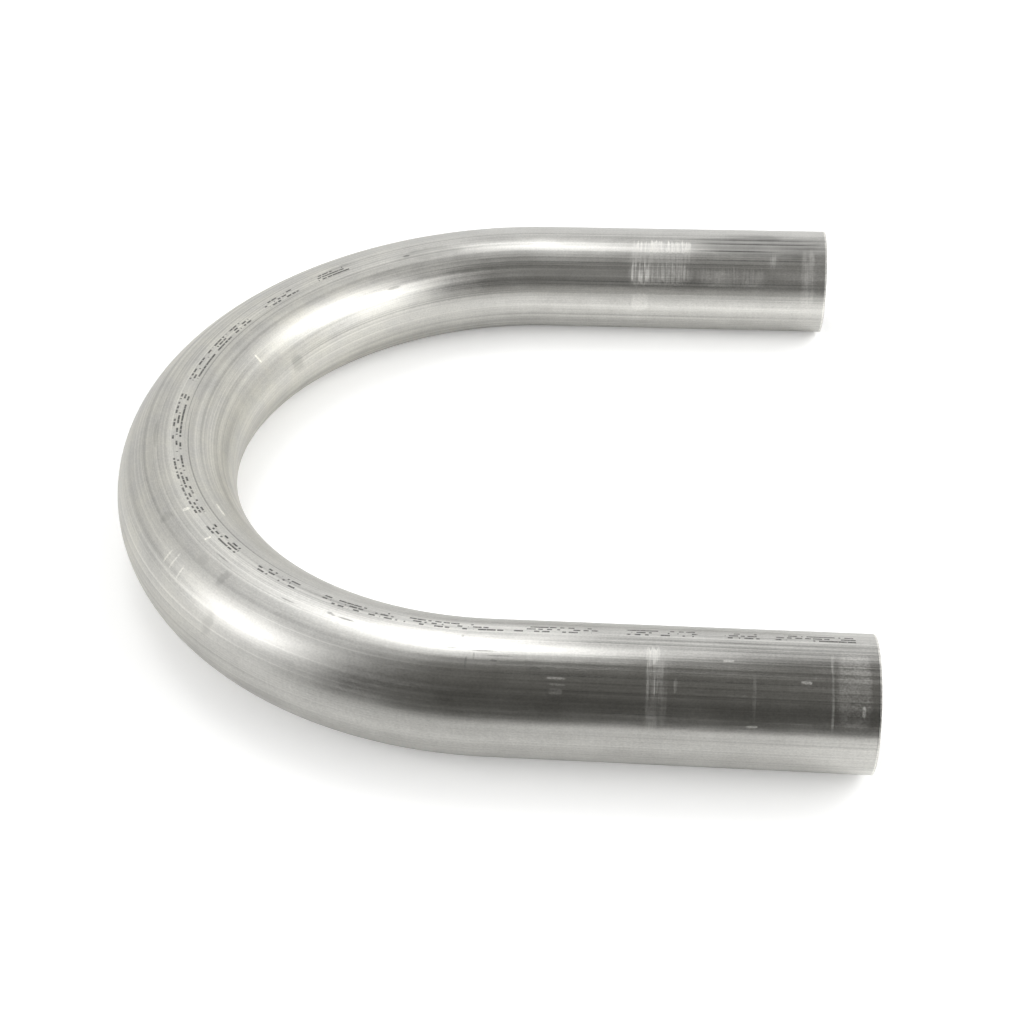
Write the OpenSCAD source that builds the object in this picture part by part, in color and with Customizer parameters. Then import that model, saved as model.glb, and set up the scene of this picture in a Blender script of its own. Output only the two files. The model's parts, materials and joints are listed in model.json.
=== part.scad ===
// Mandrel-bent return bend: one length of thin-wall welded stainless tube, turned through a half circle
// with a straight leg on each side. It lies flat on its side, with both legs pointing along +X.
// All sizes are in millimetres.

/* [Tube] */
// Outside diameter of the tube
tube_od = 50.8; // [19:0.1:76.2]
// Wall thickness of the tube before it was bent
wall = 1.245; // [0.9:0.005:3]

/* [Bend] */
// Radius of the bend, measured to the centreline of the tube
bend_radius = 152.4; // [90:0.1:300]
// How far the bore drifts outwards at the crown, which thins the outer wall and thickens the inner one
crown_drift = 0.2; // [0.05:0.01:0.5]

/* [Legs] */
// Straight length of each leg, from the end of the bend to the cut end
leg_length = 139.7; // [40:0.1:400]
// Edge break filed on the outer and inner edges of each cut end
edge_break = 0.2; // [0.05:0.01:0.35]

/* [Hidden] */
$fn = 96;

outer_r = tube_od / 2;
bore_r = outer_r - wall;

// How far a cutting tool runs past the face that it cuts
overcut = 1;

// The tube rests on z = 0, and its footprint is centred on the origin
axis_z = outer_r;
bend_x = (bend_radius + outer_r - leg_length) / 2;

// Stands its children, drawn along +Z, on the axis of each leg at the end of the bend, facing +X
module on_each_leg() {
    for (side = [-1, 1])
        translate([bend_x, side * bend_radius, axis_z])
            rotate([0, 90, 0])
                children();
}

// Half turn of round section about the centre of the bend, from one leg's axis to the other's
module half_turn(section_r) {
    translate([bend_x, 0, axis_z])
        rotate([0, 0, 90])
            rotate_extrude(angle = 180)
                translate([bend_radius, 0])
                    circle(r = section_r);
}

// Outside of the tube, with the outer edge of each cut end broken
module outer_form() {
    half_turn(outer_r);
    on_each_leg() {
        cylinder(r = outer_r, h = leg_length - edge_break);
        translate([0, 0, leg_length - edge_break])
            cylinder(r1 = outer_r, r2 = outer_r - edge_break, h = edge_break);
    }
}

// Bore of the tube. It is the centreline's own U moved bodily towards the crown, so it stays concentric
// in the legs, and the wall changes smoothly from the end of each leg to the crown, as a bent wall does.
module bore_form() {
    translate([-crown_drift, 0, 0]) {
        half_turn(bore_r);
        on_each_leg()
            cylinder(r = bore_r, h = leg_length + crown_drift + overcut);
    }
    on_each_leg()
        translate([0, 0, leg_length - edge_break])
            cylinder(r1 = bore_r, r2 = bore_r + edge_break + overcut, h = edge_break + overcut);
}

// The bent tube, one piece from cut end to cut end
module return_bend() {
    color("silver")
        difference() {
            outer_form();
            bore_form();
        }
}

return_bend();
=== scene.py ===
"""Looks of a return bend: thin-wall stainless tube, bent back on itself over a mandrel and lying flat.

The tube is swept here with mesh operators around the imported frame, and gets a surface map that runs along
the tube and round it. Drawn streaks, the bending tool's marks and the ink follow that map, in millimetres.
"""
import json
import logging
import math
from dataclasses import dataclass
from enum import IntEnum
from typing import Any

import bmesh
import bpy
from mathutils import Matrix, Vector

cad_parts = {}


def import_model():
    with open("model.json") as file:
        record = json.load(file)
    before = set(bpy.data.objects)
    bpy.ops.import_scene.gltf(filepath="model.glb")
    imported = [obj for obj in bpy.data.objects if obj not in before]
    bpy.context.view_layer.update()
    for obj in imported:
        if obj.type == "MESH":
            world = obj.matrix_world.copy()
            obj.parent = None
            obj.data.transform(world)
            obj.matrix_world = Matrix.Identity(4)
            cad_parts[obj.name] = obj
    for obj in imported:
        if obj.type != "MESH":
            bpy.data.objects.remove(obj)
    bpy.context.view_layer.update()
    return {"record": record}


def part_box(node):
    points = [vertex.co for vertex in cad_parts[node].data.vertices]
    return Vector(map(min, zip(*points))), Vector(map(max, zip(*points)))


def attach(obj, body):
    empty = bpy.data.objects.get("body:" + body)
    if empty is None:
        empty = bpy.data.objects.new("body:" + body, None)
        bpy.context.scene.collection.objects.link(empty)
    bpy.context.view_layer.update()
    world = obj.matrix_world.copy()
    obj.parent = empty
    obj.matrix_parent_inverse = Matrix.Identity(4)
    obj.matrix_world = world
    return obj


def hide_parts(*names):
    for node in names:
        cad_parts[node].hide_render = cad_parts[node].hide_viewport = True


LOG = logging.getLogger("return_bend")
MM = 0.001
NODE = "return_bend"
BODY = "root"
SURFACE_MAP = "tube_surface"
BAKE_MAP = "OFBake"
# Shares of a soft patch's half size: up to the first it is at its full level, past the other it is gone.
PATCH_FULL = 0.6
PATCH_GONE = 1.2
# A corner this close to the surface map's seam, as a share of a turn, lies on it.
SEAM = 0.001
# The bake's map leaves this margin at both ends of its strips.
BAKE_MARGIN = 0.01

Ring = list[bmesh.types.BMEdge]


def linear(hex_colour: str) -> tuple[float, float, float, float]:
    """Turns an sRGB hex colour into linear light.

    Args:
        hex_colour: Six hex digits after a hash sign.

    Returns:
        Red, green, blue and a full alpha, linear.
    """
    parts = [int(hex_colour[i:i + 2], 16) / 255 for i in (1, 3, 5)]
    red, green, blue = (p / 12.92 if p <= 0.04045 else ((p + 0.055) / 1.055) ** 2.4 for p in parts)
    return red, green, blue, 1.0


def add(
    tree: bpy.types.NodeTree, kind: str, inputs: dict[int | str, Any], **settings: Any
) -> bpy.types.Node:
    """Adds a node to a tree, with its settings, values and links.

    Args:
        tree: Node tree that takes the node.
        kind: The node's type name after "ShaderNode".
        inputs: For each input, by name or number, a plain value, an output socket, or a node whose first
            output is linked.
        settings: Options of the node, such as operation.

    Returns:
        The new node.
    """
    node = tree.nodes.new("ShaderNode" + kind)
    for option, value in settings.items():
        setattr(node, option, value)
    for key, value in inputs.items():
        if isinstance(value, bpy.types.Node):
            tree.links.new(value.outputs[0], node.inputs[key])
        elif isinstance(value, bpy.types.NodeSocket):
            tree.links.new(value, node.inputs[key])
        else:
            node.inputs[key].default_value = value
    return node


def soft_patch(
    tree: bpy.types.NodeTree, flat: bpy.types.Node | bpy.types.NodeSocket, centre: tuple[float, float],
    size: tuple[float, float], strength: float, square: bool,
) -> bpy.types.Node:
    """Lays one soft-edged patch on a flat surface.

    Args:
        tree: Node tree that takes the nodes.
        flat: Place on the surface.
        centre: The patch's middle there.
        size: Its length and width.
        strength: Level inside it.
        square: Whether it is square-ended, not oval.

    Returns:
        The level, zero outside.
    """
    half = Vector(size) / 2
    scale = (1 / half.x, 1 / half.y, 0)
    shift = (-centre[0] / half.x, -centre[1] / half.y, 0)
    near = add(tree, "Mapping", {0: flat, "Location": shift, "Scale": scale})
    if square:
        near = add(tree, "VectorMath", {0: near, 1: near}, operation="MULTIPLY")
    away = add(tree, "VectorMath", {0: near}, operation="LENGTH")
    return add(
        tree, "MapRange", {0: away.outputs["Value"], 1: PATCH_GONE, 2: PATCH_FULL, 3: 0.0, 4: strength},
        interpolation_type="SMOOTHSTEP",
    )


class Skin(IntEnum):
    """Surfaces of the tube, numbered as its material slots."""

    OUTSIDE = 0
    BORE = 1
    CUT = 2


@dataclass(frozen=True)
class Strip:
    """A strip of the bake's map: where it starts, how far up the far half's own one is, and its height."""

    start: float
    far_shift: float
    height: float


BAKE_STRIPS = {
    Skin.OUTSIDE: Strip(0.01, 0.39, 0.37),
    Skin.BORE: Strip(0.79, 0.0, 0.13),
    Skin.CUT: Strip(0.94, 0.03, 0.025),
}


@dataclass(frozen=True)
class TubeSizes:
    """Sizes of the bent tube in metres, in the frame's own axes: legs along X, near leg at low Y."""

    outer_r: float
    bore_r: float
    bend_r: float
    leg: float
    end_x: float
    axis_z: float
    crown_drift: float = 0.2 * MM
    edge_break: float = 0.2 * MM

    @classmethod
    def from_record(cls, record: dict[str, Any]) -> "TubeSizes":
        """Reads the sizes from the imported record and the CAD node's box.

        Args:
            record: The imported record.

        Returns:
            The tube's sizes.
        """
        mounts = {mount["name"]: mount for mount in record["mounts"]}
        outside = mounts["near_leg_outside"]
        bore = mounts["near_leg_bore"]
        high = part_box(NODE)[1]
        return cls(
            outer_r=outside["dims"]["r_mm"] * MM,
            bore_r=bore["dims"]["r_mm"] * MM,
            bend_r=-outside["pos_m"][1],
            leg=bore["dims"]["length_mm"] * MM,
            end_x=high.x,
            axis_z=outside["pos_m"][2],
        )

    @property
    def bend_x(self) -> float:
        """Where the legs end and the half turn starts."""
        return self.end_x - self.leg

    @property
    def length(self) -> float:
        """Length of the tube's axis from cut end to cut end."""
        return 2 * self.leg + math.pi * self.bend_r

    @property
    def girth(self) -> float:
        """Distance round the outside of the tube."""
        return 2 * math.pi * self.outer_r

    def place(self, point: Vector) -> tuple[float, float, float]:
        """Finds a point's place on the tube.

        Args:
            point: A point on the tube's walls.

        Returns:
            Its share of the way along from the near cut end, its share of the way round from the underside
            by way of the bend's outside, and its distance from the axis.
        """
        beyond = point.x - self.bend_x
        if beyond >= 0:
            along = self.leg - beyond if point.y < 0 else self.length - self.leg + beyond
            outward = abs(point.y) - self.bend_r
        else:
            along = self.leg + math.atan2(-beyond, -point.y) * self.bend_r
            outward = math.hypot(beyond, point.y) - self.bend_r
        rise = point.z - self.axis_z
        round_share = (math.atan2(outward, -rise) / (2 * math.pi)) % 1.0
        return along / self.length, round_share, math.hypot(outward, rise)


@dataclass(frozen=True)
class Mark:
    """A soft patch on the outside, by its middle, its length along the tube and its width round it.

    The middle is measured along from the near cut end, and in degrees round from the bend's outside
    by way of the top.
    """

    along_mm: float
    round_deg: float
    length_mm: float
    width_mm: float
    strength: float = 1.0


# Where the bending tool's clamps and dies gripped and rubbed: paler, more matt, in lines round the tube.
CLAMP_SCUFFS = (
    Mark(16.8, 52, 0.9, 28, 0.5),
    Mark(16.8, 74, 1.4, 9, 0.5),
    Mark(44, 46, 1.3, 16, 0.32),
    Mark(78, 47, 8, 26, 0.4),
    Mark(79.5, 78, 5, 6, 1.0),
    Mark(80.8, 58, 1.8, 13, 1.0),
    Mark(78.3, 53, 1.6, 8, 0.9),
    Mark(71.5, 52, 1.4, 5, 0.6),
    Mark(665.8, 146, 10, 11, 0.95),
    Mark(676, 146, 32, 10, 0.62),
    Mark(676, 129, 32, 20, 0.34),
    Mark(677, 113, 30, 7.5, 0.8),
    Mark(711, 149, 34, 9, 0.32),
    Mark(731.5, 129, 3, 7, 0.3),
    Mark(749, 148, 7, 30, 0.36),
)
# Rings and short scratches that are bright all over, and a painted highlight in a thin ring at each cut
# end.
BRIGHT_RUBS = (
    Mark(666, 178, 8.4, 10, 0.3),
    Mark(666, 147, 9.4, 10, 0.36),
    Mark(9.5, 56, 12, 30, 0.36),
    # Painted highlight: a thin bright ring on the rim of each cut end, where the broken edge catches the
    # lamps.
    Mark(0.3, 90, 1.0, 400, 0.9),
    Mark(757.7, 90, 1.0, 400, 0.9),
    Mark(6.3, 38, 1.2, 4, 1.0),
    Mark(44.5, 22, 4, 0.9, 0.7),
    Mark(26, 59, 4, 1.1, 0.7),
    Mark(53, 75, 4, 0.9, 0.7),
    Mark(113.5, 54, 7, 0.9, 0.65),
    Mark(113, 49, 6, 0.8, 0.45),
    Mark(113.5, 43.5, 5, 2.4, 0.45),
    Mark(264, 48, 0.8, 6, 0.5),
    Mark(270, 52, 0.9, 8, 0.5),
    Mark(274.5, 50, 0.9, 6, 0.6),
    Mark(286, 117.5, 10, 1.1, 0.9),
    Mark(268, 87, 1.2, 3, 0.9),
    Mark(290, 88, 2, 3, 0.8),
    Mark(426, 138, 1.3, 5, 0.9),
    Mark(700, 150, 3, 1.6, 0.4),
    Mark(704, 146, 1.2, 3, 0.4),
    Mark(708, 144, 5, 0.8, 0.4),
    Mark(719, 153, 2, 2.4, 0.4),
)
# Grease, stains and fingerprints, which dull the steel and darken it, and one broad patch of painted shade
# on the far end's top.
SMUDGES = (
    Mark(245, 69, 5, 8, 0.55),
    Mark(243.5, 30, 5, 11, 0.4),
    Mark(260, 69, 7, 4, 0.3),
    Mark(291, 68, 4, 6, 0.35),
    Mark(451, 171, 9, 10, 0.5),
    Mark(505, 96, 12, 3, 0.4),
    Mark(553, 110, 40, 7, 0.5),
    # Painted shade, not grease: it darkens the far end's top where the steel mirrors less light.
    Mark(725, 108, 66, 18, 1.0),
)
# Pale lines that the drawing die scored along the tube, and one broad painted highlight on top of the
# bend's start.
PALE_LINES = (
    # Painted highlight: a broad pale patch on top of the bend's start, widening the mirrored lamp there.
    Mark(142, 96, 90, 11, 1.4),
    Mark(70, 99.5, 190, 1.2, 1.0),
    Mark(65, 91.5, 130, 0.6, 0.8),
    Mark(36, 43.5, 76, 0.4, 0.6),
    Mark(180, 58.5, 110, 0.6, 0.8),
    Mark(255, 41, 170, 0.7, 0.7),
    Mark(265, 26, 150, 0.7, 0.7),
    Mark(290, 93, 130, 0.8, 0.6),
    Mark(420, 92, 180, 0.7, 0.6),
    Mark(500, 112, 160, 0.7, 0.7),
    Mark(680, 136.5, 170, 0.6, 0.9),
    Mark(725, 102.5, 70, 0.8, 0.9),
    Mark(690, 94, 140, 0.6, 0.8),
    Mark(715, 124, 76, 0.7, 0.9),
)
# Darker lines from the die, nicks and specks.
DARK_LINES = (
    Mark(0.9, 48, 0.6, 44, 0.7),
    Mark(82, 56.5, 130, 0.5, 0.9),
    Mark(66, 64, 92, 0.6, 0.6),
    Mark(38, 84.5, 78, 0.4, 0.7),
    Mark(50, 94, 90, 0.7, 0.7),
    Mark(75, 88.5, 120, 0.5, 0.7),
    Mark(40, 103, 70, 0.6, 0.7),
    Mark(290, 108.5, 170, 0.8, 0.9),
    Mark(420, 105, 160, 0.7, 0.8),
    Mark(640, 133.5, 230, 0.6, 0.9),
    Mark(680, 155, 160, 0.8, 0.6),
    Mark(712, 116.5, 46, 0.8, 1.0),
    Mark(725, 106, 72, 0.8, 0.9),
    Mark(715, 99, 90, 0.6, 0.7),
    Mark(722, 128, 66, 0.8, 0.9),
    Mark(84, 28, 30, 0.6, 0.6),
    Mark(348, 77, 20, 2.2, 0.45),
    Mark(528, 141.5, 9, 1.4, 0.8),
    Mark(542, 107, 4, 1.6, 0.8),
    Mark(148, 89, 1.2, 1.4, 1.0),
    Mark(192, 84, 7, 0.9, 0.9),
    Mark(199, 85, 2.4, 1.3, 0.9),
    Mark(197.4, 84, 2.2, 0.7, 0.8),
    Mark(217, 81, 7, 0.7, 0.8),
    Mark(254, 83, 8, 0.7, 0.7),
    Mark(145.5, 64, 0.9, 5, 0.9),
    Mark(143, 70, 0.8, 3, 0.7),
    Mark(140, 75, 9, 0.6, 0.8),
    Mark(134, 71, 11, 0.5, 0.8),
    Mark(136, 66.5, 3, 0.8, 0.9),
    Mark(128, 64.5, 12, 0.5, 0.8),
    Mark(121, 61.5, 5, 0.7, 0.9),
    Mark(116, 63, 6, 0.4, 0.7),
    Mark(151, 76, 5, 0.5, 0.7),
)


@dataclass(frozen=True)
class Grain:
    """Size of a noise's features along the tube and across it, its levels of finer ones, their weight."""

    along_mm: float
    across_mm: float
    detail: float
    roughness: float = 0.6


@dataclass(frozen=True)
class SteelFinish:
    """Bare stainless steel on one skin of the tube, with patterns laid out in millimetres."""

    sizes: TubeSizes
    name: str = "stainless_steel"
    steel: str = "#C9C8C4"

    def material(self) -> bpy.types.Material:
        """Makes the material of this skin."""
        material = bpy.data.materials.new(self.name)
        material.use_nodes = True
        shader = material.node_tree.nodes["Principled BSDF"]
        shader.inputs["Metallic"].default_value = 1.0
        self._dress(material.node_tree, shader)
        return material

    def _dress(self, tree: bpy.types.NodeTree, shader: bpy.types.Node) -> None:
        """Links the patterns to the shader.

        Args:
            tree: The material's nodes.
            shader: The Principled shader among them.
        """
        raise NotImplementedError

    def _flat(self, tree: bpy.types.NodeTree) -> bpy.types.Node:
        """Unrolls the tube.

        Args:
            tree: The material's nodes.

        Returns:
            The place there: millimetres along from the near cut end, and round from the underside.
        """
        surface = add(tree, "UVMap", {}, uv_map=SURFACE_MAP)
        scale = (self.sizes.length / MM, self.sizes.girth / MM, 0)
        return add(tree, "Mapping", {0: surface, "Scale": scale})

    def _solid(self, tree: bpy.types.NodeTree, flat: bpy.types.Node) -> bpy.types.Node:
        """Straightens the tube, so that noise on it has no seam.

        Args:
            tree: The material's nodes.
            flat: Place on the unrolled tube.

        Returns:
            The place on the straightened tube: millimetres along it, and across it in two axes.
        """
        radius = self.sizes.outer_r / MM
        place = add(tree, "SeparateXYZ", {0: flat})
        turn = add(tree, "Math", {0: place.outputs[1], 1: 1 / radius}, operation="MULTIPLY")
        sine = add(tree, "Math", {0: turn}, operation="SINE")
        cosine = add(tree, "Math", {0: turn}, operation="COSINE")
        unit = add(tree, "CombineXYZ", {0: place.outputs[0], 1: sine, 2: cosine})
        return add(tree, "Mapping", {0: unit, "Scale": (1, radius, radius)})

    def _drawn(self, tree: bpy.types.NodeTree, solid: bpy.types.Node, grain: Grain) -> bpy.types.Node:
        """Draws a grain out along the tube.

        Args:
            tree: The material's nodes.
            solid: Place on the straightened tube.
            grain: Size of the grain.

        Returns:
            Noise of that grain, around one half.
        """
        across = 1 / grain.across_mm
        drawn = add(tree, "Mapping", {0: solid, "Scale": (1 / grain.along_mm, across, across)})
        return add(
            tree, "TexNoise",
            {"Vector": drawn, "Scale": 1.0, "Detail": grain.detail, "Roughness": grain.roughness},
        )

    def _sum(
        self, tree: bpy.types.NodeTree, start: Any, parts: tuple[tuple[bpy.types.Node, float, float], ...]
    ) -> bpy.types.Node:
        """Adds shares of patterns to a starting level.

        Args:
            tree: The material's nodes.
            start: Level before the patterns.
            parts: Each pattern, its share, and the level at which it changes nothing.

        Returns:
            The sum.
        """
        total = start
        for pattern, share, rest in parts:
            shift = add(tree, "Math", {0: pattern, 1: rest}, operation="SUBTRACT") if rest else pattern
            total = add(tree, "Math", {0: shift, 1: share, 2: total}, operation="MULTIPLY_ADD")
        return total


# Stainless tube as the mill and the bender leave it: drawn through a die, annealed, pickled, then bent. It
# gives the eye a satin grey with soft mirror bands, streaks along the tube, a duller bend and the tools'
# pale marks.
@dataclass(frozen=True)
class MillFinish(SteelFinish):
    """Outside of the tube: mill-finish steel, streaked, scuffed and inked."""

    name: str = "mill_finish_stainless_steel"
    straw: str = "#C8C5B4"
    ink: str = "#3A3936"
    brushing: float = 0.3
    brushing_turn: float = 0.25
    # Glossier steel loses its streaks when the render is denoised.
    least_roughness: float = 0.28
    # The die's lines. Real ones are hundredths of a millimetre apart: drawn coarser, so that they show.
    streaks: Grain = Grain(240, 0.5, 2)
    lines: Grain = Grain(600, 1.4, 1)
    bands: Grain = Grain(1200, 5.0, 1)
    patchiness: Grain = Grain(130, 16, 1)
    # Clouds from the pickling, crystals, drawn coarser than real ones too, and lines rubbed round the tube.
    clouds: Grain = Grain(18, 12, 4)
    crystals: Grain = Grain(0.9, 0.6, 2)
    rubbing: Grain = Grain(0.9, 16, 2)
    # How far the edges of smudges and of the painted shade, and the ends of clamp marks, fray, along and
    # round.
    smudge_fray_mm: tuple[float, float] = (14, 10)
    clamp_fray_mm: tuple[float, float] = (0, 10)
    # The ink's ranks, dashes and groups, how many dashes apart two ranks are in the row of chances,
    # where the ink starts and ends, and how its line drifts round the tube on its way.
    ink_rank_mm: float = 1.55
    ink_dash_mm: float = 3.3
    ink_group_mm: float = 17
    ink_stagger: float = 400.37
    ink_ends_mm: tuple[float, float] = (8, 512)
    ink_drift_mm: tuple[float, float] = (20, 300)
    ink_drift_deg: tuple[float, float] = (195.5, 187.5)
    # The steel along the tube: share of the length, roughness, haze, and straw tint from the bending.
    zones: tuple[tuple[float, float, float, float], ...] = (
        (0.0, 0.28, 0.0, 0.0), (0.12, 0.28, 0.0, 0.0), (0.19, 0.30, 0.0, 0.0), (0.24, 0.35, 0.0, 0.0),
        (0.29, 0.41, 0.0, 0.0), (0.40, 0.41, 0.0, 0.22), (0.62, 0.41, 0.0, 0.22), (0.74, 0.38, 0.04, 0.05),
        (0.78, 0.30, 0.12, 0.0), (0.85, 0.30, 0.15, 0.0), (0.9, 0.30, 0.11, 0.0), (1.0, 0.30, 0.11, 0.0),
    )

    def _dress(self, tree: bpy.types.NodeTree, shader: bpy.types.Node) -> None:
        """Links streaks, scuffs, smudges, ink, and the painted highlights and shade among the marks, to the
        shader.

        Args:
            tree: The material's nodes.
            shader: The Principled shader among them.
        """
        flat = self._flat(tree)
        solid = self._solid(tree, flat)
        fine = self._drawn(tree, solid, self.streaks)
        lines = self._drawn(tree, solid, self.lines)
        bands = self._drawn(tree, solid, self.bands)
        patches = self._drawn(tree, solid, self.patchiness)
        cloud = self._drawn(tree, solid, self.clouds)
        grain = self._drawn(tree, solid, self.crystals)
        rub = self._drawn(tree, solid, self.rubbing)
        worn = add(tree, "MapRange", {0: grain, 1: 0.36, 2: 0.58, 3: 0.65, 4: 1.0})
        scuffs = self._scuffs(tree, flat, rub, worn)
        smudges = self._smudges(tree, flat, cloud, worn)
        pale = self._patches(tree, flat, PALE_LINES, False)
        dark = self._patches(tree, flat, DARK_LINES, False)
        ink = self._ink(tree, flat, worn)
        zone = self._zone(tree, flat)

        patchy = add(tree, "MapRange", {0: patches, 1: 0.38, 2: 0.62, 3: 0.5, 4: 1.45})
        drawn = self._sum(tree, 0.0, ((fine, 0.52, 0.5), (lines, 0.5, 0.5)))
        drawn = add(tree, "Math", {0: drawn, 1: patchy}, operation="MULTIPLY")
        # The scuffs, smudges and pale lines also carry the painted rim highlights, the painted shade on the
        # far end and the painted highlight on the bend's start into the colour.
        value = self._sum(
            tree, 1.0,
            (
                (drawn, 1.0, 0.0), (bands, 0.22, 0.5), (cloud, 0.36, 0.5), (grain, 0.46, 0.5),
                (rub, 0.07, 0.5), (scuffs, 0.55, 0.0), (smudges, -0.4, 0.0), (pale, 0.25, 0.0),
                (dark, -0.4, 0.0),
            ),
        )
        roughness = self._sum(
            tree, zone,
            (
                (fine, 0.12, 0.5), (lines, 0.16, 0.5), (bands, 0.10, 0.5), (cloud, 0.16, 0.5),
                (grain, 0.10, 0.5), (scuffs, 0.24, 0.0), (smudges, 0.12, 0.0), (dark, 0.08, 0.0),
                (ink, 0.15, 0.0),
            ),
        )
        roughness = add(tree, "Math", {0: roughness, 1: self.least_roughness}, operation="MAXIMUM")
        height = self._sum(tree, 0.0, ((lines, 0.025, 0.5), (bands, 0.06, 0.5)))
        bump = add(tree, "Bump", {"Height": height, "Strength": 1.0, "Distance": MM})
        tangent = add(tree, "Tangent", {}, direction_type="UV_MAP", uv_map=SURFACE_MAP)
        uneven = add(tree, "MapRange", {0: cloud, 1: 0.4, 2: 0.6, 3: 0.5, 4: 1.3})
        tint = add(tree, "Math", {0: zone.outputs[2], 1: uneven}, operation="MULTIPLY")
        steel = add(tree, "Mix", {0: tint, 6: linear(self.steel), 7: linear(self.straw)}, data_type="RGBA")
        bright = add(tree, "VectorMath", {0: steel.outputs[2], "Scale": value}, operation="SCALE")
        colour = add(tree, "Mix", {0: ink, 6: bright, 7: linear(self.ink)}, data_type="RGBA")
        bare = add(tree, "Math", {0: 1.0, 1: ink}, operation="SUBTRACT")
        metal = add(tree, "Math", {0: bare, 1: zone.outputs[1]}, operation="SUBTRACT", use_clamp=True)
        shader.inputs["Anisotropic"].default_value = self.brushing
        shader.inputs["Anisotropic Rotation"].default_value = self.brushing_turn
        tree.links.new(colour.outputs[2], shader.inputs["Base Color"])
        tree.links.new(metal.outputs[0], shader.inputs["Metallic"])
        tree.links.new(roughness.outputs[0], shader.inputs["Roughness"])
        tree.links.new(bump.outputs[0], shader.inputs["Normal"])
        tree.links.new(tangent.outputs[0], shader.inputs["Tangent"])

    def _zone(self, tree: bpy.types.NodeTree, flat: bpy.types.Node) -> bpy.types.Node:
        """Grades the steel along the tube.

        Args:
            tree: The material's nodes.
            flat: Place on the unrolled tube.

        Returns:
            Roughness, haze and straw tint, as three outputs.
        """
        place = add(tree, "SeparateXYZ", {0: flat})
        share = add(tree, "Math", {0: place.outputs[0], 1: self.sizes.length / MM}, operation="DIVIDE")
        ramp = add(tree, "ValToRGB", {0: share})
        for _ in self.zones[1:-1]:
            ramp.color_ramp.elements.new(0.5)
        for element, (position, matt, hazy, tinted) in zip(ramp.color_ramp.elements, self.zones):
            element.position = position
            element.color = (matt, hazy, tinted, 1)
        return add(tree, "SeparateColor", {0: ramp.outputs["Color"]})

    def _frayed(
        self, tree: bpy.types.NodeTree, flat: bpy.types.Node, noise: bpy.types.Node | bpy.types.NodeSocket,
        reach_mm: tuple[float, float],
    ) -> bpy.types.Node:
        """Moves places on the unrolled tube by a noise, so that patches there fray.

        Args:
            tree: The material's nodes.
            flat: Place on the unrolled tube.
            noise: Noise with a part along the tube and a part round it.
            reach_mm: How far it moves a place, along and round.

        Returns:
            The moved place.
        """
        reach = Vector((*reach_mm, 0))
        moved = add(tree, "VectorMath", {0: noise, 1: reach, 2: flat}, operation="MULTIPLY_ADD")
        return add(tree, "VectorMath", {0: moved, 1: reach / 2}, operation="SUBTRACT")

    def _scuffs(
        self, tree: bpy.types.NodeTree, flat: bpy.types.Node, rub: bpy.types.Node, worn: bpy.types.Node
    ) -> bpy.types.Node:
        """Lays the clamp marks, in lines with frayed ends, and the bright rubs with the painted rim
        highlights.

        Args:
            tree: The material's nodes.
            flat: Place on the unrolled tube.
            rub: Lines rubbed round the tube.
            worn: Fine breaks in the rubs.

        Returns:
            How scuffed the steel is, with the painted rim highlights.
        """
        frayed = self._frayed(tree, flat, add(tree, "CombineXYZ", {1: rub}), self.clamp_fray_mm)
        clamped = self._patches(tree, frayed, CLAMP_SCUFFS, True)
        rubbed = add(tree, "MapRange", {0: rub, 1: 0.36, 2: 0.60, 3: 0.25, 4: 1.0})
        clamped = add(tree, "Math", {0: clamped, 1: rubbed}, operation="MULTIPLY")
        bright = self._patches(tree, flat, BRIGHT_RUBS, True)
        bright = add(tree, "Math", {0: bright, 1: worn}, operation="MULTIPLY")
        return add(tree, "Math", {0: bright, 1: clamped}, operation="MAXIMUM")

    def _smudges(
        self, tree: bpy.types.NodeTree, flat: bpy.types.Node, cloud: bpy.types.Node, worn: bpy.types.Node
    ) -> bpy.types.Node:
        """Lays the smudges and the painted shade, with frayed edges.

        Args:
            tree: The material's nodes.
            flat: Place on the unrolled tube.
            cloud: Noise that frays them.
            worn: Fine breaks in them.

        Returns:
            How smudged the steel is, with the painted shade.
        """
        frayed = self._frayed(tree, flat, cloud.outputs["Color"], self.smudge_fray_mm)
        smudges = self._patches(tree, frayed, SMUDGES, False)
        return add(tree, "Math", {0: smudges, 1: worn}, operation="MULTIPLY")

    def _patches(
        self, tree: bpy.types.NodeTree, flat: bpy.types.Node, marks: tuple[Mark, ...], square: bool
    ) -> bpy.types.Node:
        """Lays soft patches on the surface, the strongest winning.

        Args:
            tree: The material's nodes.
            flat: Place on the unrolled tube.
            marks: The patches.
            square: Whether the patches are square-ended, not oval.

        Returns:
            The patches' strength.
        """
        total = None
        for mark in marks:
            round_mm = (mark.round_deg + 90) / 360 * self.sizes.girth / MM
            extent = (mark.length_mm, mark.width_mm)
            patch = soft_patch(tree, flat, (mark.along_mm, round_mm), extent, mark.strength, square)
            total = patch if total is None else add(tree, "Math", {0: total, 1: patch}, operation="MAXIMUM")
        return total

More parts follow.
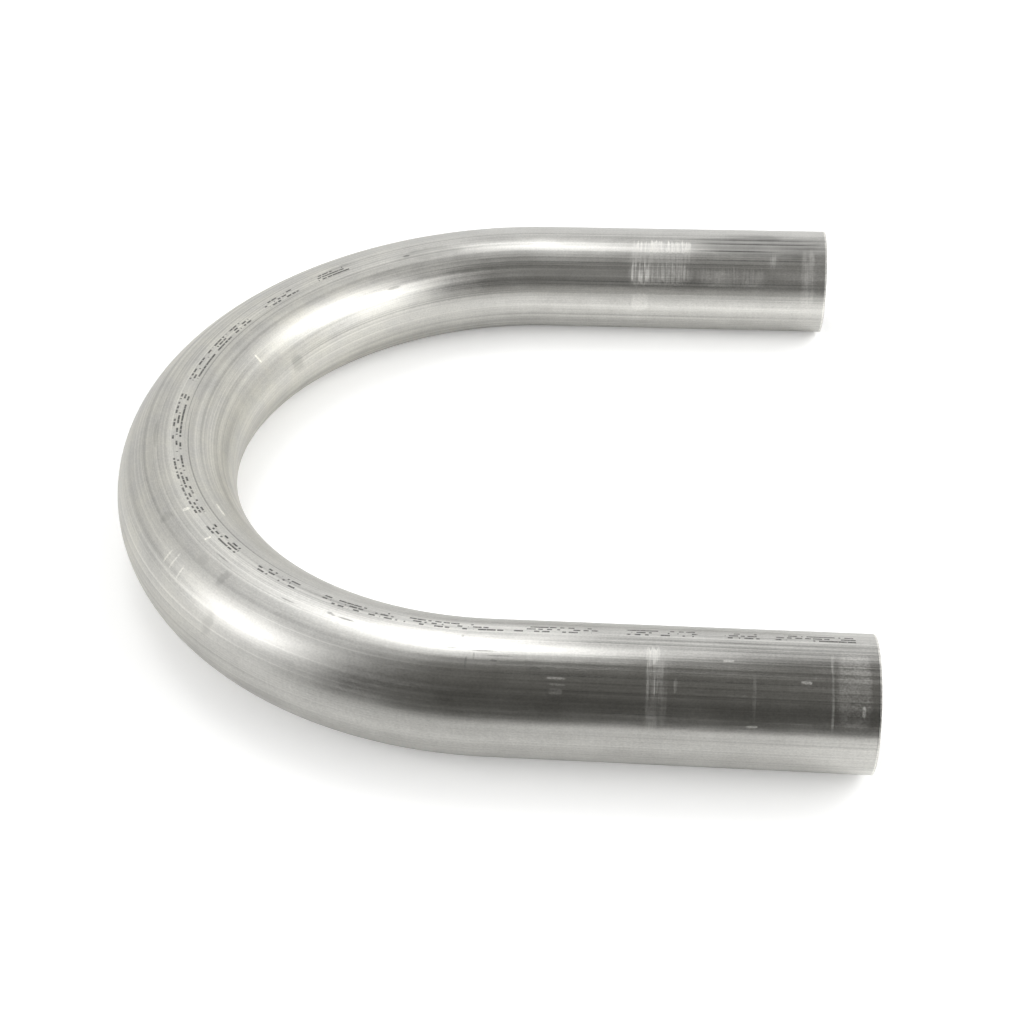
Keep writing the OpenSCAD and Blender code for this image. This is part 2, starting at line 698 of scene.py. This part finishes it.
    def _ink(self, tree: bpy.types.NodeTree, flat: bpy.types.Node, worn: bpy.types.Node) -> bpy.types.Node:
        """Prints three faded ranks of plain dashes along the top, with gaps by chance.

        Args:
            tree: The material's nodes.
            flat: Place on the unrolled tube.
            worn: Fine breaks in the ink.

        Returns:
            How much ink there is.
        """
        degree = self.sizes.girth / MM / 360
        first, last = (turn * degree for turn in self.ink_drift_deg)
        drift_from, drift_to = self.ink_drift_mm
        place = add(tree, "SeparateXYZ", {0: flat})
        along = place.outputs[0]
        middle = add(
            tree, "MapRange", {0: along, 1: drift_from, 2: drift_to, 3: first, 4: last},
            interpolation_type="SMOOTHSTEP",
        )
        across = add(tree, "Math", {0: place.outputs[1], 1: middle}, operation="SUBTRACT")
        ranks = add(tree, "Math", {0: across, 1: self.ink_rank_mm}, operation="DIVIDE")
        rank = add(tree, "Math", {0: ranks}, operation="ROUND")
        beside = add(tree, "Math", {0: ranks, 1: rank}, operation="SUBTRACT")
        beside = add(tree, "Math", {0: beside}, operation="ABSOLUTE")
        in_rank = add(tree, "MapRange", {0: beside, 1: 0.34, 2: 0.20})
        outer = add(tree, "Math", {0: rank}, operation="ABSOLUTE")
        three_ranks = add(tree, "Math", {0: outer, 1: 1.5}, operation="LESS_THAN")
        cells = add(tree, "Math", {0: along, 1: self.ink_dash_mm}, operation="DIVIDE")
        shifted = add(tree, "Math", {0: rank, 1: self.ink_stagger, 2: cells}, operation="MULTIPLY_ADD")
        number = add(tree, "Math", {0: shifted}, operation="FLOOR")
        chance = add(tree, "TexWhiteNoise", {"W": number}, noise_dimensions="1D")
        within = add(tree, "Math", {0: shifted}, operation="FRACT")
        within = add(tree, "Math", {0: within, 1: 0.5}, operation="SUBTRACT")
        within = add(tree, "Math", {0: within}, operation="ABSOLUTE")
        spread = add(tree, "Math", {0: within, 1: chance}, operation="SUBTRACT")
        dash = add(tree, "MapRange", {0: spread, 1: -0.22, 2: -0.30})
        groups = add(
            tree, "TexNoise", {"W": along, "Scale": 1 / self.ink_group_mm, "Detail": 0},
            noise_dimensions="1D",
        )
        group = add(tree, "MapRange", {0: groups, 1: 0.36, 2: 0.40})
        after = add(tree, "Math", {0: along, 1: self.ink_ends_mm[0]}, operation="GREATER_THAN")
        before = add(tree, "Math", {0: along, 1: self.ink_ends_mm[1]}, operation="LESS_THAN")
        total = worn
        for mask in (in_rank, three_ranks, dash, group, after, before):
            total = add(tree, "Math", {0: total, 1: mask}, operation="MULTIPLY")
        return total


# The same steel where the mandrel slid along it: rubbed dull, with a film of its grease. It gives the eye a
# dim satin tunnel with long lines.
@dataclass(frozen=True)
class BoreFinish(SteelFinish):
    """Inside of the tube: mandrel-rubbed steel under a greasy film."""

    name: str = "mandrel_rubbed_stainless_steel"
    steel: str = "#B9B7B2"
    film: str = "#8F8B80"
    roughness: float = 0.42
    rub_lines: Grain = Grain(180, 0.9, 2)
    film_clouds: Grain = Grain(30, 9, 3)
    line_depth_mm: float = 0.03

    def _dress(self, tree: bpy.types.NodeTree, shader: bpy.types.Node) -> None:
        """Links rub lines and the film to the shader.

        Args:
            tree: The material's nodes.
            shader: The Principled shader among them.
        """
        solid = self._solid(tree, self._flat(tree))
        lines = self._drawn(tree, solid, self.rub_lines)
        cloud = self._drawn(tree, solid, self.film_clouds)
        value = self._sum(tree, 1.0, ((lines, 0.6, 0.5), (cloud, 0.2, 0.5)))
        bright = add(tree, "VectorMath", {0: linear(self.steel)[:3], "Scale": value}, operation="SCALE")
        greasy = add(tree, "MapRange", {0: cloud, 1: 0.5, 2: 0.7, 3: 0.0, 4: 0.5})
        colour = add(tree, "Mix", {0: greasy, 6: bright, 7: linear(self.film)}, data_type="RGBA")
        roughness = self._sum(tree, self.roughness, ((lines, 0.2, 0.5), (cloud, 0.2, 0.5)))
        bump = add(tree, "Bump", {"Height": lines, "Strength": 1.0, "Distance": self.line_depth_mm * MM})
        tree.links.new(colour.outputs[2], shader.inputs["Base Color"])
        tree.links.new(roughness.outputs[0], shader.inputs["Roughness"])
        tree.links.new(bump.outputs[0], shader.inputs["Normal"])


# Freshly sawn steel with its burr taken off: it gives the eye a bright, glittering ring. The saw's lines
# are drawn coarser than real ones, so that they show.
@dataclass(frozen=True)
class SawnFinish(SteelFinish):
    """Cut ends: bright steel with the saw's lines across the cut."""

    name: str = "saw_cut_stainless_steel"
    steel: str = "#D4D3CF"
    roughness: float = 0.33
    tooth_mm: float = 0.35
    stroke_mm: float = 50
    speck_mm: float = 1.25
    line_depth_mm: float = 0.04

    def _dress(self, tree: bpy.types.NodeTree, shader: bpy.types.Node) -> None:
        """Links the saw's lines and the burr's specks to the shader.

        Args:
            tree: The material's nodes.
            shader: The Principled shader among them.
        """
        place = add(tree, "TexCoord", {}).outputs["Object"]
        scale = (0, 1 / (self.stroke_mm * MM), 1 / (self.tooth_mm * MM))
        sawn = add(tree, "Mapping", {0: place, "Scale": scale})
        lines = add(tree, "TexNoise", {"Vector": sawn, "Scale": 1.0, "Detail": 2})
        specks = add(tree, "TexNoise", {"Vector": place, "Scale": 1 / (self.speck_mm * MM), "Detail": 2})
        value = self._sum(tree, 1.0, ((lines, 0.5, 0.5), (specks, 0.4, 0.5)))
        bright = add(tree, "VectorMath", {0: linear(self.steel)[:3], "Scale": value}, operation="SCALE")
        roughness = self._sum(tree, self.roughness, ((lines, 0.2, 0.5), (specks, 0.3, 0.5)))
        bump = add(tree, "Bump", {"Height": lines, "Strength": 1.0, "Distance": self.line_depth_mm * MM})
        tree.links.new(bright.outputs[0], shader.inputs["Base Color"])
        tree.links.new(roughness.outputs[0], shader.inputs["Roughness"])
        tree.links.new(bump.outputs[0], shader.inputs["Normal"])


@dataclass
class BentTube:
    """The whole object: one tube with two straight legs and a half turn, open at both cut ends."""

    sizes: TubeSizes
    sides: int = 192
    bend_steps: int = 144
    leg_steps: int = 8
    crease_deg: float = 30

    def build(self) -> bpy.types.Object:
        """Sweeps the walls, lays the surface map on them and dresses them.

        Returns:
            The tube as one piece.
        """
        bm = bmesh.new()
        self._sweep(bm)
        self._sort_faces(bm)
        self._lay_maps(bm)
        mesh = bpy.data.meshes.new("bent_tube")
        bm.to_mesh(mesh)
        bm.free()
        for finish in (MillFinish(self.sizes), BoreFinish(self.sizes), SawnFinish(self.sizes)):
            mesh.materials.append(finish.material())
        piece = bpy.data.objects.new("bent_tube", mesh)
        bpy.context.scene.collection.objects.link(piece)
        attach(piece, BODY)
        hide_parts(NODE)
        return piece

    def _sweep(self, bm: bmesh.types.BMesh) -> None:
        """Carries one ring of edges over the outside, the far lip, the bore and the near lip.

        Args:
            bm: Mesh that takes the walls.
        """
        size = self.sizes
        reach = size.leg - size.edge_break
        start = Matrix.Translation((size.end_x - size.edge_break, -size.bend_r, size.axis_z))
        start @= Matrix.Rotation(math.pi / 2, 4, "Y")
        bmesh.ops.create_circle(bm, cap_ends=False, segments=self.sides, radius=size.outer_r, matrix=start)
        ring = list(bm.edges)
        ring = self._straight(bm, ring, -reach)
        ring = self._half_turn(bm, ring, size.bend_x, 1)
        ring = self._straight(bm, ring, reach)
        ring = self._lip(bm, ring, size.bend_r, (size.outer_r, size.bore_r))
        ring = self._straight(bm, ring, -reach - size.crown_drift)
        ring = self._half_turn(bm, ring, size.bend_x - size.crown_drift, -1)
        ring = self._straight(bm, ring, reach + size.crown_drift)
        self._lip(bm, ring, -size.bend_r, (size.bore_r, size.outer_r))
        bmesh.ops.remove_doubles(bm, verts=bm.verts, dist=size.edge_break / 10)
        bmesh.ops.recalc_face_normals(bm, faces=bm.faces)

    def _extrude(self, bm: bmesh.types.BMesh, ring: Ring) -> tuple[Ring, list[bmesh.types.BMVert]]:
        """Extrudes a ring of edges in place.

        Args:
            bm: Mesh that holds the ring.
            ring: The ring's edges.

        Returns:
            The new ring's edges and its vertices.
        """
        made = bmesh.ops.extrude_edge_only(bm, edges=ring)["geom"]
        verts = [part for part in made if isinstance(part, bmesh.types.BMVert)]
        fresh = set(verts)
        edges = [part for part in made if isinstance(part, bmesh.types.BMEdge)]
        return [edge for edge in edges if fresh.issuperset(edge.verts)], verts

    def _straight(self, bm: bmesh.types.BMesh, ring: Ring, reach: float) -> Ring:
        """Carries a ring along a leg.

        Args:
            bm: Mesh that holds the ring.
            ring: The ring's edges.
            reach: Distance along X.

        Returns:
            The last ring's edges.
        """
        for _ in range(self.leg_steps):
            ring, verts = self._extrude(bm, ring)
            bmesh.ops.translate(bm, verts=verts, vec=(reach / self.leg_steps, 0, 0))
        return ring

    def _half_turn(self, bm: bmesh.types.BMesh, ring: Ring, centre_x: float, way: int) -> Ring:
        """Spins a ring through the bend.

        Args:
            bm: Mesh that holds the ring.
            ring: The ring's edges.
            centre_x: Where the bend's axis stands on X.
            way: 1 from the near leg to the far one, -1 back.

        Returns:
            The last ring's edges.
        """
        spun = bmesh.ops.spin(
            bm, geom=ring, cent=(centre_x, 0, self.sizes.axis_z), axis=(0, 0, 1), dvec=(0, 0, 0),
            angle=-way * math.pi, steps=self.bend_steps, use_merge=False, use_duplicate=False,
        )
        return [part for part in spun["geom_last"] if isinstance(part, bmesh.types.BMEdge)]

    def _lip(self, bm: bmesh.types.BMesh, ring: Ring, leg_y: float, radii: tuple[float, float]) -> Ring:
        """Turns a ring over a cut end: a broken edge, the sawn face and the other broken edge.

        Args:
            bm: Mesh that holds the ring.
            ring: The ring's edges.
            leg_y: Where the leg's axis is on Y.
            radii: The ring's radius now and after the lip.

        Returns:
            The last ring's edges.
        """
        size = self.sizes
        inwards = math.copysign(size.edge_break, radii[1] - radii[0])
        stops = (
            (radii[0] + inwards, size.edge_break),
            (radii[1] - inwards, 0.0),
            (radii[1], -size.edge_break),
        )
        axis = Matrix.Translation((-size.end_x, -leg_y, -size.axis_z))
        radius = radii[0]
        for wanted, forward in stops:
            ring, verts = self._extrude(bm, ring)
            share = wanted / radius
            bmesh.ops.scale(bm, verts=verts, vec=(1, share, share), space=axis)
            bmesh.ops.translate(bm, verts=verts, vec=(forward, 0, 0))
            radius = wanted
        return ring

    def _sort_faces(self, bm: bmesh.types.BMesh) -> None:
        """Gives each face its skin, smooth shading and a hard line at the broken edges.

        Args:
            bm: The swept mesh.
        """
        size = self.sizes
        middle = (size.outer_r + size.bore_r) / 2
        cut_from = size.end_x - 0.9 * size.edge_break
        for face in bm.faces:
            centre = face.calc_center_median()
            face.smooth = True
            if centre.x > cut_from:
                face.material_index = Skin.CUT
            elif size.place(centre)[2] > middle:
                face.material_index = Skin.OUTSIDE
            else:
                face.material_index = Skin.BORE
        for edge in bm.edges:
            edge.smooth = edge.calc_face_angle(0.0) < math.radians(self.crease_deg)

    def _lay_maps(self, bm: bmesh.types.BMesh) -> None:
        """Lays the surface map, U along the tube and V round it from a seam below, and the bake's map.

        Args:
            bm: The swept mesh.
        """
        surface = bm.loops.layers.uv.new(SURFACE_MAP)
        bake = bm.loops.layers.uv.new(BAKE_MAP)
        places = {vert: self.sizes.place(vert.co) for vert in bm.verts}
        for face in bm.faces:
            skin = Skin(face.material_index)
            turns = [places[vert][1] for vert in face.verts]
            past_half = max(turn for turn in turns if turn < 1 - SEAM) > 0.5
            far_half = face.calc_center_median().y > 0
            for loop in face.loops:
                along, round_share, radius = places[loop.vert]
                if past_half and round_share < SEAM:
                    round_share += 1.0
                elif not past_half and round_share > 1 - SEAM:
                    round_share -= 1.0
                loop[surface].uv = (along, round_share)
                loop[bake].uv = self._bake_place(skin, far_half, along, round_share, radius)

    def _bake_place(
        self, skin: Skin, far_half: bool, along: float, round_share: float, radius: float
    ) -> tuple[float, float]:
        """Finds a corner's place on the bake's map, where the skins lie in strips, none over another.

        The outside has a strip for each half of the tube, and then come the bore and the two cut ends.

        Args:
            skin: The face's skin.
            far_half: Whether the face is in the far half of the tube.
            along: Share of the way along the tube.
            round_share: Share of the way round it.
            radius: Distance from its axis.

        Returns:
            U and V on the bake's map.
        """
        strip = BAKE_STRIPS[skin]
        across, up = along, round_share
        if skin is Skin.OUTSIDE:
            across = 2 * along - far_half
        elif skin is Skin.CUT:
            across = round_share
            up = (radius - self.sizes.bore_r) / (self.sizes.outer_r - self.sizes.bore_r)
        u = BAKE_MARGIN + (1 - 2 * BAKE_MARGIN) * across
        return u, strip.start + strip.far_shift * far_half + strip.height * up


@dataclass(frozen=True)
class SoftBox:
    """A rectangular studio lamp that faces a point on the object."""

    name: str
    place: tuple[float, float, float]
    size: tuple[float, float]
    radiance: float
    roll: float = 0.0

    def hang(self, target: Vector) -> None:
        """Hangs the lamp.

        Args:
            target: Point that the lamp faces.
        """
        lamp = bpy.data.lights.new(self.name, "AREA")
        lamp.shape = "RECTANGLE"
        lamp.size, lamp.size_y = self.size
        lamp.energy = self.radiance * math.pi * self.size[0] * self.size[1]
        holder = bpy.data.objects.new(self.name, lamp)
        facing = (target - Vector(self.place)).to_track_quat("-Z", "Y").to_matrix().to_4x4()
        holder.matrix_world = Matrix.Translation(self.place) @ facing @ Matrix.Rotation(self.roll, 4, "Z")
        holder.visible_camera = False
        bpy.context.scene.collection.objects.link(holder)


@dataclass(frozen=True)
class TableTone:
    """A patch of painted light (gain above nought) and painted shade (gain below it) on the table, which
    only the steel's reflections show: paler or dimmer than the rest.
    """

    middle: tuple[float, float]
    size: tuple[float, float]
    gain: float


@dataclass
class Studio:
    """White table in a light tent that is open, and dark, on the camera's side."""

    target: tuple[float, float, float] = (0, 0, 0.03)
    table_half: float = 6.0
    table_colour: str = "#F8F8F7"
    table_lift: float = 0.24
    # Distances from the middle between which the table turns plain white to the camera: no shadow is there.
    white_from: float = 0.4
    white_past: float = 1.0
    # Painted light and shade on the table, seen only in the steel: dimmer between the legs and in front of
    # the near leg, paler by the far leg, inside the bend, to the right and along the front edge.
    table_tones: tuple[TableTone, ...] = (
        TableTone((0.12, -0.02), (0.32, 0.2), -0.26),
        TableTone((0.14, 0.093), (0.28, 0.03), 0.42),
        TableTone((-0.035, 0.06), (0.1, 0.065), 0.38),
        TableTone((0.55, -0.2), (0.8, 0.5), 0.4),
        TableTone((0.05, -0.226), (0.46, 0.05), -0.26),
        TableTone((0.22, -0.278), (0.4, 0.035), 0.6),
    )
    # The dark opening: floor from the table's front edge to a wall, the wall, a roof with a slanted edge.
    # It is dimmest up to one height, and paler towards the top.
    table_front: float = -0.29
    room_half: float = 0.55
    room_floor: float = 0.001
    room_back: float = -0.62
    room_top: float = 0.9
    roof_front: float = -0.54
    roof_slant: float = 1.12
    room_colour: str = "#FFFCF4"
    room_dim_to: float = 0.2
    room_level: float = 0.065
    room_top_level: float = 0.12
    # The tent's levels, and the directions between which one passes into the next.
    tent_level: float = 0.66
    zenith_level: float = 0.58
    zenith_edge: tuple[float, float] = (0.6, 0.98)
    back_wall_level: float = 0.28
    back_wall_side: tuple[float, float] = (0.74, 0.88)
    back_wall_top: tuple[float, float] = (0.45, 0.6)
    soft_boxes: tuple[SoftBox, ...] = (
        SoftBox("left_soft_box", (-0.9, -0.34, 0.52), (0.4, 0.42), 3.8),
        SoftBox("right_soft_box", (0.82, -0.08, 0.61), (1.2, 0.52), 3.0, 0.28),
        SoftBox("low_soft_box", (0.95, -0.42, 0.085), (0.5, 0.16), 1.4),
        SoftBox("back_soft_box", (-0.36, 0.66, 1.6), (0.6, 0.95), 3.0),
    )

    def build(self) -> None:
        """Sets up the table, the dark opening, the tent and the lamps."""
        self._table()
        self._opening()
        self._tent()
        for box in self.soft_boxes:
            box.hang(Vector(self.target))

    def _bare(self, name: str) -> bpy.types.Material:
        """Makes a material that has no shader yet."""
        material = bpy.data.materials.new(name)
        material.use_nodes = True
        material.node_tree.nodes.remove(material.node_tree.nodes["Principled BSDF"])
        return material

    def _stand(self, bm: bmesh.types.BMesh, name: str, material: bpy.types.Material) -> bpy.types.Object:
        """Puts a mesh in the scene.

        Args:
            bm: The mesh, which is freed.
            name: Its name.
            material: Its material.

        Returns:
            The new object.
        """
        mesh = bpy.data.meshes.new(name)
        bm.to_mesh(mesh)
        bm.free()
        mesh.materials.append(material)
        stand = bpy.data.objects.new(name, mesh)
        bpy.context.scene.collection.objects.link(stand)
        return stand

    def _table(self) -> None:
        """Lays the white table, which shows the object's shadow and is otherwise white to the camera; the
        steel mirrors it with patches of painted light and shade.
        """
        bm = bmesh.new()
        bmesh.ops.create_grid(bm, x_segments=1, y_segments=1, size=self.table_half)
        material = self._bare("white_tabletop")
        tree = material.node_tree
        path = add(tree, "LightPath", {})
        place = add(tree, "TexCoord", {}).outputs["Object"]
        # The painted light and shade change the table's colour for glossy rays only.
        tone = 1.0
        for patch in self.table_tones:
            change = soft_patch(tree, place, patch.middle, patch.size, patch.gain, True)
            tone = add(tree, "Math", {0: change, 1: tone}, operation="ADD")
        shown = add(tree, "Mix", {0: path.outputs["Is Glossy Ray"], 2: 1.0, 3: tone})
        colour = linear(self.table_colour)[:3]
        white = add(tree, "VectorMath", {0: colour, "Scale": shown}, operation="SCALE")
        matt = add(tree, "BsdfDiffuse", {"Color": white})
        away = add(tree, "VectorMath", {0: place}, operation="LENGTH")
        level = add(
            tree, "MapRange",
            {0: away.outputs["Value"], 1: self.white_from, 2: self.white_past, 3: self.table_lift, 4: 1.0},
            interpolation_type="SMOOTHSTEP",
        )
        lift = add(tree, "Math", {0: path.outputs["Is Camera Ray"], 1: level}, operation="MULTIPLY")
        glow = add(tree, "Emission", {"Color": (1, 1, 1, 1), "Strength": lift})
        both = add(tree, "AddShader", {0: matt, 1: glow})
        tree.links.new(both.outputs[0], tree.nodes["Material Output"].inputs["Surface"])
        table = self._stand(bm, "table", material)

    def _opening(self) -> None:
        """Stands a dark sheet where the tent is open, for the steel to mirror; nothing else sees it."""
        bm = bmesh.new()
        left = bm.verts.new((-self.room_half, self.table_front, self.room_floor))
        right = bm.verts.new((self.room_half, self.table_front, self.room_floor))
        edges = [bm.edges.new((left, right))]
        stretches = (
            (0, self.room_back - self.table_front, 0),
            (0, 0, self.room_top),
            (0, self.roof_front - self.room_back, 0),
        )
        for stretch in stretches:
            made = bmesh.ops.extrude_edge_only(bm, edges=edges)["geom"]
            verts = [part for part in made if isinstance(part, bmesh.types.BMVert)]
            bmesh.ops.translate(bm, verts=verts, vec=stretch)
            fresh = [part for part in made if isinstance(part, bmesh.types.BMEdge)]
            edges = [edge for edge in fresh if set(edge.verts) == set(verts)]
        right_end = [vert for vert in edges[0].verts if vert.co.x > 0]
        bmesh.ops.translate(bm, verts=right_end, vec=(0, self.roof_slant, 0))
        material = self._bare("dim_room")
        tree = material.node_tree
        place = add(tree, "SeparateXYZ", {0: add(tree, "TexCoord", {}).outputs["Object"]})
        level = add(
            tree, "MapRange",
            {
                0: place.outputs[2], 1: self.room_dim_to, 2: self.room_top,
                3: self.room_level, 4: self.room_top_level,
            },
            interpolation_type="SMOOTHSTEP",
        )
        glow = add(tree, "Emission", {"Color": linear(self.room_colour), "Strength": level})
        tree.links.new(glow.outputs[0], tree.nodes["Material Output"].inputs["Surface"])
        opening = self._stand(bm, "tent_opening", material)
        opening.visible_camera = False
        opening.visible_diffuse = False
        opening.visible_shadow = False

    def _tent(self) -> None:
        """Makes the world: white to the camera, and to everything else a tent that is dimmer overhead."""
        world = bpy.data.worlds.new("light_tent")
        bpy.context.scene.world = world
        world.use_nodes = True
        tree = world.node_tree
        shader = tree.nodes["Background"]
        direction = add(tree, "SeparateXYZ", {0: add(tree, "TexCoord", {}).outputs["Generated"]})
        back, up = direction.outputs[1], direction.outputs[2]
        side_from, side_to = self.back_wall_side
        top_from, top_to = self.back_wall_top
        zenith_from, zenith_to = self.zenith_edge
        behind = add(
            tree, "MapRange", {0: back, 1: side_from, 2: side_to}, interpolation_type="SMOOTHSTEP"
        )
        low = add(
            tree, "MapRange", {0: up, 1: top_from, 2: top_to, 3: self.back_wall_level, 4: 0.0},
            interpolation_type="SMOOTHSTEP",
        )
        sides = add(
            tree, "MapRange",
            {0: up, 1: zenith_from, 2: zenith_to, 3: self.tent_level, 4: self.zenith_level},
            interpolation_type="SMOOTHSTEP",
        )
        tent = add(tree, "Math", {0: behind, 1: low, 2: sides}, operation="MULTIPLY_ADD")
        path = add(tree, "LightPath", {})
        level = add(tree, "Mix", {0: path.outputs["Is Camera Ray"], 2: tent, 3: 1.0})
        tree.links.new(level.outputs[0], shader.inputs["Strength"])
        shader.inputs["Color"].default_value = (1, 1, 1, 1)


@dataclass(frozen=True)
class Viewpoint:
    """The camera that took the photograph, fitted to the tube's outline."""

    place: tuple[float, float, float] = (0.07883, -0.57219, 0.43725)
    azimuth: float = 0.1153
    elevation: float = 0.6618
    roll: float = -0.0371
    lens_mm: float = 55.91
    sensor_mm: float = 36.0
    clip_start: float = 0.01

    def set_up(self) -> None:
        """Makes the scene's camera."""
        data = bpy.data.cameras.new("viewpoint")
        data.lens = self.lens_mm
        data.sensor_width = self.sensor_mm
        data.clip_start = self.clip_start
        camera = bpy.data.objects.new("viewpoint", data)
        turn = Matrix.Rotation(self.azimuth, 4, "Z") @ Matrix.Rotation(math.pi / 2 - self.elevation, 4, "X")
        camera.matrix_world = Matrix.Translation(self.place) @ turn @ Matrix.Rotation(self.roll, 4, "Z")
        bpy.context.scene.collection.objects.link(camera)
        bpy.context.scene.camera = camera


def main() -> None:
    """Builds the tube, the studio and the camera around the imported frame."""
    logging.basicConfig(level=logging.INFO, format="%(name)s: %(message)s")
    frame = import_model()
    sizes = TubeSizes.from_record(frame["record"])
    tube = BentTube(sizes).build()
    LOG.info("%s: %d faces", tube.name, len(tube.data.polygons))
    Studio().build()
    Viewpoint().set_up()
    bpy.context.scene.view_settings.view_transform = "Standard"


if __name__ == "__main__":
    main()
